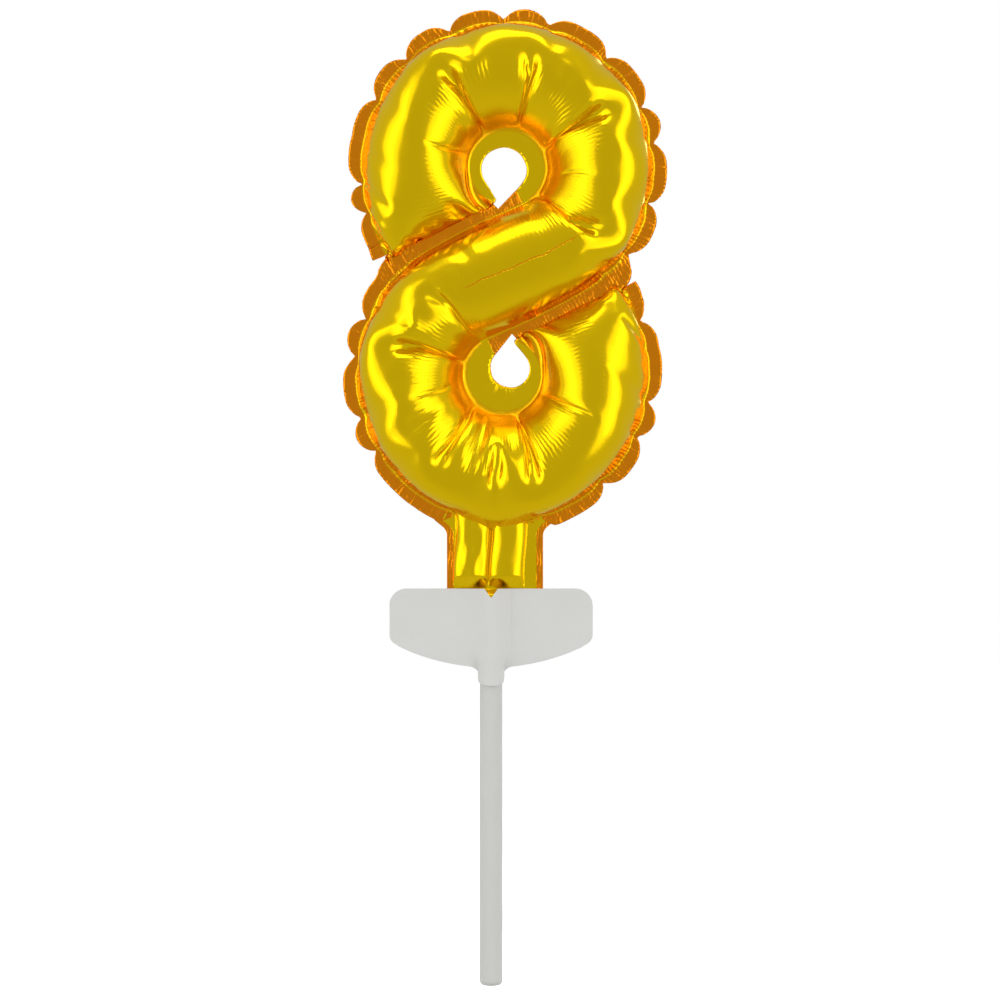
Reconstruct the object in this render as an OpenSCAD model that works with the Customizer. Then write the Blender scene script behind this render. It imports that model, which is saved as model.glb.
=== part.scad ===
// Foil number balloon on a stick. The head is a figure eight: one long tube, blown up between a
// front and a back film that are welded together all round. A self-sealing valve lies in the neck
// below it. The foot of the neck and the top of a rolled paper stick sit between two glued cards.
// The balloon faces -Y and the stick runs down the Z axis. The origin is on the stick's axis, at
// the lower end of its straight shank. Sizes are in millimetres.

/* [Figure] */
// Radius of each loop, from its centre to the middle of the tube
loop_r = 24; // [20.5:0.1:30]
// Length of the straight tube that crosses between the loops
straight_l = 24.2; // [16:0.2:26]
// Lean of the figure to the right, in degrees
lean = 1.2; // [-5:0.1:5]
// Distance of the figure's middle to the right of the stick
figure_x = 3.6; // [-6:0.1:6]
// Width of the blown-up tube, from weld to weld
tube_w = 28; // [20:0.5:32]
// Depth of the blown-up tube, front to back
tube_depth = 20; // [12:0.5:26]
// Width of the flat welded margin around the tube
margin_w = 3.8; // [2:0.1:5]
// Width of the welded web between each end of the tube and the straight part
web_w = 3; // [1.5:0.1:5]
// Distance kept between the point of each hole and the nearest weld
point_gap = 0.4; // [0.2:0.1:2]
// Turn of each hole's point away from the straight tube's normal, in degrees
point_turn = 33; // [15:1:45]

/* [Films] */
// Thickness of each foil film
film_t = 0.2; // [0.1:0.05:0.4]
// Thickness of each clear valve film
valve_t = 0.08; // [0.05:0.01:0.1]
// Length of the valve
valve_l = 32; // [20:1:45]
// Distance from the side of the valve to the side weld of the neck
valve_side_gap = 2; // [0.5:0.1:4]

/* [Neck] */
// Width of the neck, with its side welds
neck_w = 25; // [20:0.5:30]
// Distance of the neck's middle to the right of the stick
neck_x = 1; // [-3:0.1:3]
// Length of neck between the cards and the lowest weld of the figure
neck_l = 17.6; // [14:0.1:25]
// Width of each side weld of the neck
neck_weld_w = 3; // [2:0.1:4]
// Distance that the neck puffs out, to the front and to the back
neck_puff = 1.6; // [0.8:0.1:3]
// Radius of the curve between each side of the neck and the figure's margin
flare_r = 5; // [2:0.5:10]
// Height of the fold line above the cards
fold_h = 5.3; // [3:0.1:7]
// Gap between the two sides of the fold line
fold_gap = 1.5; // [1.2:0.1:2]
// Depth that the neck reaches down between the cards
tail_l = 17; // [10:0.5:19]

/* [Stick] */
// Diameter of the stick
stick_d = 6; // [5:0.1:7.5]
// Length of straight shank below the cards
shank_l = 76.3; // [60:0.1:120]
// Radius of the rounded edge at the lower end
stick_round = 1.2; // [0.4:0.1:2]
// Amount that the stick narrows on its radius where the cards hold it
stick_taper = 0.1; // [0.05:0.05:0.3]
// Distance from the top of the stick to the top of the cards
stick_below = 1.5; // [1:0.1:6]
// Clearance around the stick, on its radius
slide_gap = 0.05; // [0.02:0.01:0.1]

/* [Cards] */
// Width of the cards, across both wings
card_w = 52.8; // [42:0.2:64]
// Height of the cards from the lowest edge of the wings to the top
card_h = 20.6; // [19.5:0.1:26]
// Thickness of each card
card_t = 0.35; // [0.2:0.05:0.6]
// Radius of the curved lower edge
card_edge_r = 54; // [45:1:80]
// Radius of the upper corners
corner_top_r = 4.5; // [2:0.1:6]
// Radius of the lower corners
corner_low_r = 3; // [1:0.1:4]
// Length of the tongue below the wings
tongue_l = 4.6; // [4:0.1:8]
// Radius of the fillets between the wings and the tongue
tongue_fillet_r = 2.2; // [1:0.1:3]
// Width of the notch in the top edge
notch_w = 3.6; // [2:0.1:5]
// Depth of the notch in the top edge
notch_depth = 2.4; // [1:0.1:4]
// Gap between the tongue and the straight shank
shank_gap = 0.4; // [0.3:0.1:1]
// Distance from the glue to the edges of a wing and to the neck
glue_inset = 1.6; // [1:0.1:3]

/* [Hidden] */
$fn = 96;
eps = 0.01;
cut = 60; // larger than any tube that a cutting block has to cross
point_bite = 0.2; // of the sides of a hole's point into its round
film_clear = 0.02; // between a film and the card moulded over it
valve_foot = 0.4; // from the fold line's upper side to the mouth of the valve
end_overrun = 6; // degrees that each end of the tube is swept too far, before it is cut square
stick_r = stick_d / 2;
bore_r = stick_r + slide_gap;
tail_r = bore_r + film_t;
channel_r = tail_r + film_clear;
tongue_r = bore_r + card_t;

tongue_z = shank_l + shank_gap;
wing_z = tongue_z + tongue_l;
card_z = wing_z + card_h;
stick_z = card_z - stick_below;
tail_z = card_z - tail_l;
fold_z = card_z + fold_h;
neck_z = card_z + neck_l;

weld_out_r = loop_r + tube_w / 2;
weld_in_r = loop_r - tube_w / 2;
margin_r = weld_out_r + margin_w;
hole_r = weld_in_r - margin_w;
point_r = weld_in_r - point_gap;
end_cut = tube_w / 2 + web_w;
figure_turn = 90 - lean - atan2(2 * loop_r, straight_l);
loop_gap = norm([2 * loop_r, straight_l]);
figure_z = neck_z + weld_out_r + loop_gap / 2 * cos(lean);
neck_in_w = neck_w - 2 * neck_weld_w;
valve_w = neck_in_w - 2 * valve_side_gap;
head_z = fold_z + fold_gap / 2;
valve_z = head_z + valve_foot;
weld_z = neck_z - margin_w;
lower_x = figure_x - loop_gap / 2 * sin(lean);
lower_z = neck_z + weld_out_r;
tube_mid_z = lower_z - loop_r;

// Turns the drawing plane upright: x stays, y becomes Z, and the front of the drawing faces -Y.
module upright() {
    rotate([90, 0, 0]) children();
}

// The back pieces are the front pieces' mirror images.
module to_back() {
    mirror([0, 1, 0]) children();
}

// Puts a drawing made about the middle of the straight tube, with x along it, in its place.
module in_figure() {
    translate([figure_x, figure_z, 0]) rotate([0, 0, figure_turn]) children();
}

// Both loops: the figure is the same when it is turned half round.
module both_loops() {
    for (turn = [0, 180]) rotate([0, 0, turn]) children();
}

// Extrudes a section up the neck, from one height to another.
module up(from_z, to_z) {
    translate([0, to_z, 0]) rotate([90, 0, 0]) linear_extrude(to_z - from_z) children();
}

// Half of a lens, cut from a circle: a chord w wide, with its crown h above it.
module half_lens(w, h) {
    lens_r = (w * w / 4 + h * h) / (2 * h);
    intersection() {
        translate([0, h - lens_r]) circle(lens_r);
        translate([-w / 2, 0]) square([w, h + eps]);
    }
}

// The front half of the tube's bulk, taken in by inset on every side.
module tube_bulk(inset) {
    sweep_back = acos(-(weld_in_r - web_w) / weld_in_r) + end_overrun;
    both_loops() translate([straight_l / 2, loop_r, 0]) {
        rotate([0, 0, -90]) rotate_extrude(angle = 180) tube_section(inset);
        intersection() {
            rotate([0, 0, 90]) rotate_extrude(angle = sweep_back) tube_section(inset);
            translate([-cut, end_cut + inset - loop_r, -eps]) cube([2 * cut, 2 * cut, cut]);
        }
    }
    translate([-straight_l / 2, 0, 0]) rotate([90, 0, 90]) linear_extrude(straight_l)
        half_lens(tube_w - 2 * inset, tube_depth / 2 - inset);
}

// The tube's section, standing at the loop's radius.
module tube_section(inset) {
    translate([loop_r, 0]) half_lens(tube_w - 2 * inset, tube_depth / 2 - inset);
}

// A hole in the figure: round, with a point towards the web. The point's sides bite a little into
// the round, so that they cross it and don't graze it.
module hole() {
    toward = -90 - point_turn;
    side_r = hole_r - point_bite;
    spread = acos(side_r / point_r);
    circle(hole_r);
    polygon([
        side_r * [cos(toward - spread), sin(toward - spread)],
        point_r * [cos(toward), sin(toward)],
        side_r * [cos(toward + spread), sin(toward + spread)],
        [0, 0]
    ]);
}

// The outline of the film around the figure, with its welded margin.
module figure_outline() {
    difference() {
        both_loops() translate([straight_l / 2, loop_r]) circle(margin_r);
        both_loops() translate([straight_l / 2, loop_r]) hole();
    }
}

// The outline of the upper part of the neck, which flares out into the figure's margin.
module neck_outline() {
    translate([neck_x - neck_w / 2, head_z]) square([neck_w, neck_z - head_z]);
    for (side = [-1, 1]) flare(side);
}

// The curve that joins one side of the neck to the margin of the lower loop.
module flare(side) {
    side_x = neck_x + side * neck_w / 2;
    mid_x = side_x + side * flare_r;
    mid_z = lower_z - sqrt(pow(margin_r + flare_r, 2) - pow(mid_x - lower_x, 2));
    share = margin_r / (margin_r + flare_r);
    touch_x = lower_x + share * (mid_x - lower_x);
    touch_z = lower_z + share * (mid_z - lower_z);
    difference() {
        polygon([[neck_x, mid_z], [side_x, mid_z], [mid_x, mid_z], [touch_x, touch_z], [neck_x, touch_z]]);
        translate([mid_x, mid_z]) circle(flare_r);
    }
}

// One foil film of the head, from the fold line of the neck upwards.
module head_film() {
    upright() difference() {
        union() {
            in_figure() tube_bulk(0);
            linear_extrude(film_t) difference() {
                union() {
                    in_figure() figure_outline();
                    neck_outline();
                }
                in_figure() both_loops() translate([straight_l / 2, loop_r]) hole();
            }
            translate([neck_x, 0, 0]) up(head_z, weld_z) half_lens(neck_in_w, neck_puff);
        }
        in_figure() tube_bulk(film_t);
        translate([neck_x, 0, -eps]) up(head_z - 1, weld_z - film_t)
            half_lens(neck_in_w - 2 * film_t, neck_puff - film_t + eps);
        translate([neck_x - valve_w / 2, weld_z - 1, -1])
            cube([valve_w, tube_mid_z - weld_z + 1, 1 + valve_t]);
    }
}

module foil_front() {
    color("gold") head_film();
}

module foil_back() {
    color("gold") to_back() head_film();
}

// One clear valve film. The pair lie face to face and the air inside presses them shut.
module valve_film() {
    upright() translate([neck_x - valve_w / 2, valve_z, 0]) cube([valve_w, valve_l, valve_t]);
}

module valve_film_front() {
    color("gainsboro") valve_film();
}

module valve_film_back() {
    color("gainsboro") to_back() valve_film();
}

// The foot of one foil film, below the fold line. It wraps the top of the stick between the cards.
module tail_film() {
    high = fold_z - fold_gap / 2;
    upright() difference() {
        union() {
            translate([neck_x - neck_w / 2, tail_z, 0]) cube([neck_w, high - tail_z, film_t]);
            translate([neck_x, 0, 0]) up(card_z, high) half_lens(neck_in_w, neck_puff);
            up(tail_z, card_z + 2 * film_t) half_round(tail_r);
        }
        translate([neck_x, 0, -eps]) up(card_z + film_t, high + 1)
            half_lens(neck_in_w - 2 * film_t, neck_puff - film_t + eps);
        translate([0, 0, -eps]) up(tail_z - 1, card_z + film_t) half_round(bore_r);
    }
}

// Half of a disc, bulging to the front.
module half_round(r) {
    intersection() {
        circle(r);
        translate([-r, 0]) square([2 * r, r]);
    }
}

module neck_tail_front() {
    color("goldenrod") tail_film();
}

module neck_tail_back() {
    color("goldenrod") to_back() tail_film();
}

// The outline of one wing, to the right of the stick.
module wing_outline() {
    half = card_w / 2;
    edge_z = wing_z + card_edge_r;
    low_x = half - corner_low_r;
    low_z = edge_z - sqrt(pow(card_edge_r - corner_low_r, 2) - low_x * low_x);
    touch_x = low_x * card_edge_r / (card_edge_r - corner_low_r);
    intersection() {
        translate([0, edge_z]) circle(card_edge_r, $fn = 360);
        square([touch_x, card_z - corner_top_r]);
    }
    translate([low_x, low_z]) circle(corner_low_r);
    translate([0, low_z]) square([half, card_z - corner_top_r - low_z]);
    translate([0, low_z]) square([half - corner_top_r, card_z - low_z]);
    translate([half - corner_top_r, card_z - corner_top_r]) circle(corner_top_r);
}

// The outline of the tongue, with a fillet up to each wing and a rounded end.
module tongue_outline() {
    root = tongue_r + tongue_fillet_r;
    fillet_z = wing_z - tongue_fillet_r;
    difference() {
        translate([-root, fillet_z]) square([2 * root, 2 * tongue_fillet_r]);
        for (x = [-root, root]) translate([x, fillet_z]) circle(tongue_fillet_r);
    }
    translate([0, tongue_z + tongue_r]) circle(tongue_r);
    translate([-tongue_r, tongue_z + tongue_r]) square([2 * tongue_r, wing_z - tongue_z]);
}

// The outline of a card: two wings, the tongue between them, and the notch in the top edge.
module card_outline() {
    difference() {
        union() {
            wing_outline();
            mirror([1, 0]) wing_outline();
            tongue_outline();
        }
        polygon([[-notch_w / 2, card_z + eps], [0, card_z - notch_depth], [notch_w / 2, card_z + eps]]);
    }
}

// One card: flat wings, and a half-round channel moulded over the stick and the foot of the neck.
module card() {
    step_z = tail_z - film_t;
    upright() intersection() {
        linear_extrude(2 * tongue_r) card_outline();
        difference() {
            union() {
                translate([-card_w / 2, tongue_z, film_t]) cube([card_w, card_z - tongue_z, card_t]);
                up(tongue_z, step_z + card_t) half_round(tongue_r);
                up(step_z, card_z) half_round(channel_r + card_t);
            }
            translate([0, 0, -eps]) up(tongue_z - 1, step_z + 1) half_round(bore_r);
            translate([0, 0, -eps]) up(step_z, card_z + 1) half_round(channel_r);
            translate([-card_w / 2, step_z, -1]) cube([card_w, card_z + 1 - step_z, 1 + film_t]);
        }
    }
}

module card_front() {
    color("whitesmoke") card();
}

module card_back() {
    color("whitesmoke") to_back() card();
}

// The glue between two wings, as thick as the films that it lies beside.
module glue_patch(side) {
    near = neck_x * side + neck_w / 2 + glue_inset;
    far = card_w / 2 - corner_top_r;
    low = wing_z + corner_low_r + corner_top_r;
    upright() translate([side > 0 ? near : -far, low, -film_t])
        cube([far - near, card_z - glue_inset - low, 2 * film_t]);
}

module glue_patch_left() {
    color("ivory") glue_patch(-1);
}

module glue_patch_right() {
    color("ivory") glue_patch(1);
}

// The rolled paper stick: a straight shank with a rounded end, and a slight taper up into the cards.
module stick() {
    color("white") {
        rotate_extrude() {
            square([stick_r, shank_l]);
            translate([0, -stick_round]) square([stick_r - stick_round, stick_round + eps]);
            intersection() {
                translate([stick_r - stick_round, 0]) circle(stick_round);
                translate([0, -stick_round]) square([stick_r, stick_round + eps]);
            }
        }
        translate([0, 0, shank_l - eps])
            cylinder(h = stick_z - shank_l + eps, r1 = stick_r, r2 = stick_r - stick_taper);
    }
}

foil_front();
foil_back();
valve_film_front();
valve_film_back();
neck_tail_front();
neck_tail_back();
card_front();
card_back();
glue_patch_left();
glue_patch_right();
stick();
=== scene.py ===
"""Foil number balloon on a stick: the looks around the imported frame.

The balloon is a figure eight: one long tube between two foil films, welded along both its sides and
at its two ends. Its films are blown up here by a small solver: each film is a grid of points, whose
spacing is that of the flat cut film, and air pressure pushes the films apart until they are taut.
Every length is in metres, apart from the solver's own, which are in millimetres.
"""
import math

import bpy
import numpy as np
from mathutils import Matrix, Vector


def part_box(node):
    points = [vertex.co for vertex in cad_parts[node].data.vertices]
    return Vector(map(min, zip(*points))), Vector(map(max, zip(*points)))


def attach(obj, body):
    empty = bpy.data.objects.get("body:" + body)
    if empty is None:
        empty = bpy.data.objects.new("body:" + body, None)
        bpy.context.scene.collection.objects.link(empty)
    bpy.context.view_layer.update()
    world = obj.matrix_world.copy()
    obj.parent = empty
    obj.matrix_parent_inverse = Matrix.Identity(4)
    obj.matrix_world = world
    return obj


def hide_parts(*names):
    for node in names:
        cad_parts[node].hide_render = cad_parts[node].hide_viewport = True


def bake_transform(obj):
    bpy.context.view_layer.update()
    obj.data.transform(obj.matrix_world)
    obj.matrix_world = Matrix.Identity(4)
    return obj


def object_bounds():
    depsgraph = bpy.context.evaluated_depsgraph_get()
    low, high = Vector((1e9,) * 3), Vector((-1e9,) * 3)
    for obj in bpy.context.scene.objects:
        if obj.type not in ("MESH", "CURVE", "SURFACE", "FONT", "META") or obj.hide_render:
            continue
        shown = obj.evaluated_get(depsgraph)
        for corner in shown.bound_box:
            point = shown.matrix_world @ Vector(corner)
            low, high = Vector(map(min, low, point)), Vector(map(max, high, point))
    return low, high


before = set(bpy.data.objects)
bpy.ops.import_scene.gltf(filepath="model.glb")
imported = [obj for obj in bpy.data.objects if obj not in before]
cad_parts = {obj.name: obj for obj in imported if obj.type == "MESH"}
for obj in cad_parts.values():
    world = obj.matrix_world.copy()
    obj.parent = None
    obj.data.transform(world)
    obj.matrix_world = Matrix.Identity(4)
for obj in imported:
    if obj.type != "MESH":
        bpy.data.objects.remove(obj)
CAD_BOX = [list(corner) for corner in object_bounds()]

bl_info = {
    "name": "Foil Number Balloon",
    "version": (1, 0, 0),
    "blender": (4, 5, 0),
    "location": "3D View > Sidebar > Balloon",
    "description": "Builds a foil balloon on a paper stick around its packed frame",
    "category": "Object",
}

MM = 0.001
HEAD = "head"
HOLDER = "holder"
STICK = "stick"
FRONT, BACK = 0, 1
SIDE_NAMES = ("front", "back")


# Sizes and colours that a user would change

def length(name, description, default):
    """A length property in metres, from a default in millimetres."""
    return bpy.props.FloatProperty(name=name, description=description, default=default * MM,
                                   unit="LENGTH", subtype="DISTANCE", precision=5)


def colour(name, description, default):
    """A colour property."""
    return bpy.props.FloatVectorProperty(name=name, description=description, default=default,
                                         size=3, min=0, max=1, subtype="COLOR")


class BalloonFigure(bpy.types.PropertyGroup):
    """Sizes of the blown-up figure and of its film."""
    loop_radius: length("Loop radius", "From each loop's centre to the middle of the tube", 24.0)
    straight: length("Straight", "Length of the tube between the loops", 24.2)
    tube_width: length("Tube width", "Width of the tube from weld to weld", 28.0)
    tube_depth: length("Tube depth", "Depth of the tube, front to back, before it relaxes", 20.0)
    margin: length("Margin", "Width of the flat weld around the tube", 3.8)
    web: length("Web", "Width of the weld between an end of the tube and its straight part", 3.0)
    film: length("Film", "Thickness of each foil film", 0.1)
    scallop: length("Scallop", "Depth of the bites in the edge, where the weld is drawn in", 0.5)
    sag: length("Sag", "Height by which the lowest bulge hangs over the neck", 4.2)
    crease: length("Crease", "Depth of the creases around the holes before the film relaxes", 2.2)
    lean: bpy.props.FloatProperty(name="Lean", description="Lean of the figure to the right",
                                  default=math.radians(1.2), unit="ROTATION", subtype="ANGLE")
    pressure: bpy.props.FloatProperty(name="Pressure", description="Push of the air in each step",
                                      default=1.0, min=0.1, max=5)


class BalloonNeck(bpy.types.PropertyGroup):
    """Sizes of the neck, which is pleated between the balloon and the cards."""
    width: length("Width", "Width of the neck with its side welds", 25.0)
    puff: length("Puff", "Depth of each pleat, to the front and to the back", 2.6)
    tuck: length("Tuck", "Length of neck that runs up behind the figure's lowest bulge", 2.2)


class CardHolder(bpy.types.PropertyGroup):
    """Sizes of the two cards."""
    board: length("Board", "Thickness of the board", 0.35)
    channel: length("Channel", "Width of the raised channel over the stick", 9.9)
    corner: length("Corner", "Radius of the upper corners", 4.5)
    notch: length("Notch", "Width of the notch in the top edge", 3.6)


class BalloonColours(bpy.types.PropertyGroup):
    """Colours of the finishes."""
    gold: colour("Gold", "Metallised film", (0.95, 0.645, 0.004))
    # The weld colour is painted shade: a deeper orange that the foil's material lays on the welds, on the
    # walls beside the holes and along the crest, in place of the light bounced between the folds.
    weld: colour("Weld", "Film where the welds are crinkled", (0.90, 0.29, 0.006))
    card: colour("Card", "White board", (0.80, 0.80, 0.77))
    paper: colour("Paper", "Rolled paper stick", (0.76, 0.76, 0.73))


class BalloonStudio(bpy.types.PropertyGroup):
    """The studio around the balloon."""
    distance: length("Distance", "From the camera to the balloon", 1000.0)
    view: length("View", "Height of the view at the balloon", 260.0)
    white: bpy.props.FloatProperty(name="White", description="Brightness of the background",
                                   default=1.0, min=0, max=4)


# Meshes from grids

def grid_faces(rows, columns, closed=False):
    """Quads between neighbouring rows and columns of points that are numbered row by row; with
    closed, the last column also joins the first."""
    i, j = np.meshgrid(np.arange(rows - 1), np.arange(columns if closed else columns - 1), indexing="ij")
    k = (j + 1) % columns
    quads = np.stack([i * columns + j, (i + 1) * columns + j, (i + 1) * columns + k, i * columns + k], -1)
    return quads.reshape(-1, 4)


def mesh_piece(name, points, faces, material, loops_uv=None):
    """A mesh object from points (n, 3) in metres and quads or triangles (m, k), at the origin."""
    mesh = bpy.data.meshes.new(name)
    faces = np.asarray(faces)
    sides = faces.shape[1]
    mesh.vertices.add(len(points))
    mesh.vertices.foreach_set("co", np.asarray(points, np.float32).ravel())
    mesh.loops.add(faces.size)
    mesh.loops.foreach_set("vertex_index", faces.astype(np.int32).ravel())
    mesh.polygons.add(len(faces))
    mesh.polygons.foreach_set("loop_start", np.arange(0, faces.size, sides, dtype=np.int32))
    mesh.polygons.foreach_set("use_smooth", np.full(len(faces), True))
    mesh.update(calc_edges=True)
    if loops_uv is not None:
        layer = mesh.uv_layers.new(name="UVMap")
        layer.data.foreach_set("uv", np.asarray(loops_uv, np.float32)[faces.ravel()].ravel())
    mesh.validate()
    mesh.materials.append(material)
    piece = bpy.data.objects.new(name, mesh)
    bpy.context.scene.collection.objects.link(piece)
    return piece


def point_value(piece, name, values):
    """Stores one number for each point of a piece, which its material can read."""
    layer = piece.data.attributes.new(name, "FLOAT", "POINT")
    layer.data.foreach_set("value", np.asarray(values, np.float32).ravel())


def thicken(piece, thickness, offset):
    """Gives a sheet its wall, on the side that its normals point to when offset is 1."""
    wall = piece.modifiers.new("wall", "SOLIDIFY")
    wall.thickness = thickness
    wall.offset = offset
    wall.use_even_offset = False


def smooth_step(t):
    """0 below 0, 1 above 1, and a smooth S between them."""
    t = np.clip(t, 0, 1)
    return t * t * (3 - 2 * t)


def ripple(x, y, seed, waves=6, low=1.0, high=3.0):
    """A smooth random field: a sum of waves in random directions, about 1 high."""
    rng = np.random.default_rng(seed)
    turn = rng.uniform(0, 2 * np.pi, waves)
    pace = rng.uniform(low, high, waves)
    shift = rng.uniform(0, 2 * np.pi, waves)
    field = 0
    for t, p, s in zip(turn, pace, shift):
        field = field + np.sin(p * (x * np.cos(t) + y * np.sin(t)) + s)
    return field / math.sqrt(waves)


# The plan of the film, flat and blown up, in millimetres, with the straight tube along x

# Directions of the creases around each hole, in degrees from +X towards +Z, with the share of the
# tube's width that each one crosses and its strength
UPPER_CREASES = ((123, 0.66, 1.0), (76, 0.66, 1.0), (30, 0.62, 1.0), (-5, 0.56, 0.9), (-40, 0.62, 1.0),
                 (164, 0.62, 1.0), (97, 0.28, 0.4), (53, 0.30, 0.5), (12, 0.26, 0.4), (-22, 0.28, 0.4))
LOWER_CREASES = ((128, 0.66, 1.0), (163, 0.64, 1.0), (195, 0.62, 0.9), (233, 0.68, 1.0), (290, 0.62, 1.0),
                 (334, 0.66, 1.0), (146, 0.26, 0.4), (178, 0.28, 0.4), (212, 0.26, 0.4), (262, 0.28, 0.5),
                 (312, 0.26, 0.4), (5, 0.30, 0.6))
# Directions in which the outer weld of each loop is drawn in, between its scallops
UPPER_BITES = (-62, -48, -35, -14, 10, 24, 48, 74, 91, 113, 133, 152, 186, 197, 225)
LOWER_BITES = (118, 134, 158, 173, 197, 211, 313, 335, 349, 381, 405)
# Holes in mm, as the upper loop lies in the plan: the circle's middle from the loop's centre, its
# radius, and the tip
UPPER_HOLE = (-1.05, -0.15, 5.7, -6.8, -8.6)
LOWER_HOLE = (-2.6, -0.85, 5.0, -6.8, -8.6)
# Long folds: the direction and the distance in mm of each end from the loop's centre, and the depth
UPPER_FOLDS = ((163, 24.3, 217, 26.5, 1.3),)
LOWER_FOLDS = ((263.5, 25.0, 267.5, 34.5, 1.0), (22, 33.0, -12, 27.5, 0.7))
# Directions on the lower loop between which its weld runs on into the neck
NECK_SPAN = (246, 290)


class StripPlan:
    """Places of the strip's points in the plan. Rows run from the upper end of the tube to the lower
    one, and columns across it, from right of travel to left."""

    def __init__(self, loop_r, straight, half, margin, web):
        self.loop_r = loop_r
        self.straight = straight
        self.half = half
        self.margin = margin
        self.web = web
        self.end_line = half + web - loop_r
        self.turn = self.end_turn(np.array(loop_r))

    def end_turn(self, radius):
        """Turn at which a circle of this radius around a loop meets the line that ends the tube."""
        return 2 * np.pi - np.arccos(np.clip(-self.end_line / radius, -1, 1))

    def loop(self, share, across):
        """Points on the upper loop. The turn grows with the share from 0, where the loop leaves the
        straight tube, to 1 at the tube's end, where each column stops at the end line."""
        radius = self.loop_r + across
        seam = np.clip(radius, self.loop_r - self.half, None)
        near_end = np.clip(1 - (1 - share) / 0.36, 0, 1) ** 2
        turn = self.turn * share + (self.end_turn(seam) - self.turn) * near_end
        return self.straight / 2 + radius * np.sin(turn), self.loop_r - radius * np.cos(turn)

    def points(self, arc_rows, straight_rows, across):
        """The whole strip, as an array of two planes: x and y."""
        share = np.linspace(1, 0, arc_rows + 1)[:, None]
        along = np.linspace(self.straight / 2, -self.straight / 2, straight_rows + 1)[1:-1, None]
        across = across[None, :]
        upper = self.loop(share, across)
        middle = np.broadcast_arrays(along, -across)
        lower = self.loop(share[::-1], -across)
        plan = np.stack([np.concatenate([a, b, -c]) for a, b, c in zip(upper, middle, lower)])
        return plan

    def fill_web(self, plan, flange):
        """Stretches the weld's columns beside an end of the tube, so that they reach its end line.
        The first flange columns face the upper end."""
        line = self.half + self.web
        inner = self.straight / 2 - math.sqrt((self.loop_r - self.half) ** 2 - self.end_line ** 2)
        outer_r = self.loop_r + self.half
        outer = self.straight / 2 + outer_r * math.sin(self.end_turn(np.array(outer_r)))
        rows = web_rows(plan.shape[1])
        beside = rows[(plan[0, rows, flange] <= inner) & (plan[0, rows, flange] >= outer)]
        x, seam = plan[:, beside, flange]
        for column in range(flange):
            share = (flange - column) / flange
            plan[0, beside, column] = x
            plan[1, beside, column] = seam + share * (line - seam)
        return plan


def web_rows(rows):
    """Rows of the strip among which the web beside the upper end lies."""
    return np.arange(int(rows * 0.38), int(rows * 0.70))


def neighbours(bites, bearing):
    """The bite before each bearing and the one after it, in degrees, and the number of the latter."""
    places = np.sort(np.asarray(bites, float) % 360)
    places = np.concatenate([places[-1:] - 360, places, places[:1] + 360])
    number = np.searchsorted(places, bearing)
    return places[number - 1], places[number], number


def turned(plan):
    """The strip turned half round in its plane, which swaps its two ends and its two sides."""
    return -plan[:, ::-1, ::-1]


def lens(width, depth, steps):
    """A lens cut from a circle, at equal steps along its arc: places across it, depths, and the
    arc's length."""
    radius = (width ** 2 + depth ** 2) / (4 * depth)
    reach = math.asin(width / 2 / radius)
    angle = np.linspace(-reach, reach, steps + 1)
    return radius * np.sin(angle), radius * (np.cos(angle) - math.cos(reach)), 2 * reach * radius


# The solver that blows up the films

# The solver's steps on the quick, the coarse and the fine grid
QUICK_STEPS, COARSE_STEPS, FINE_STEPS = 150, 500, 600
# The air's push in each step, and the film's stiffness over two and over four cells of its grid
COARSE_AIR, FINE_AIR = 0.003, 0.0007
COARSE_STIFFNESS, FINE_STIFFNESS = (0.35, 0.15), (0.45, 0.15)
# In each step: the share of its speed that the film keeps, the share of the way that a weld moves
# towards its place, and the share of its bulge that a weld keeps
DAMPING, GUIDE, PRESS = 0.97, 0.05, 0.98
# How firmly the film keeps its length when it is pressed together: everywhere, and more near a hole
OUTER_PUSH, INNER_PUSH = 0.06, 0.35
# Pitch and height of the crinkles in the outer weld, in mm
CRINKLE_PITCH, CRINKLE_HEIGHT = 3.1, 0.22


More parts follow.
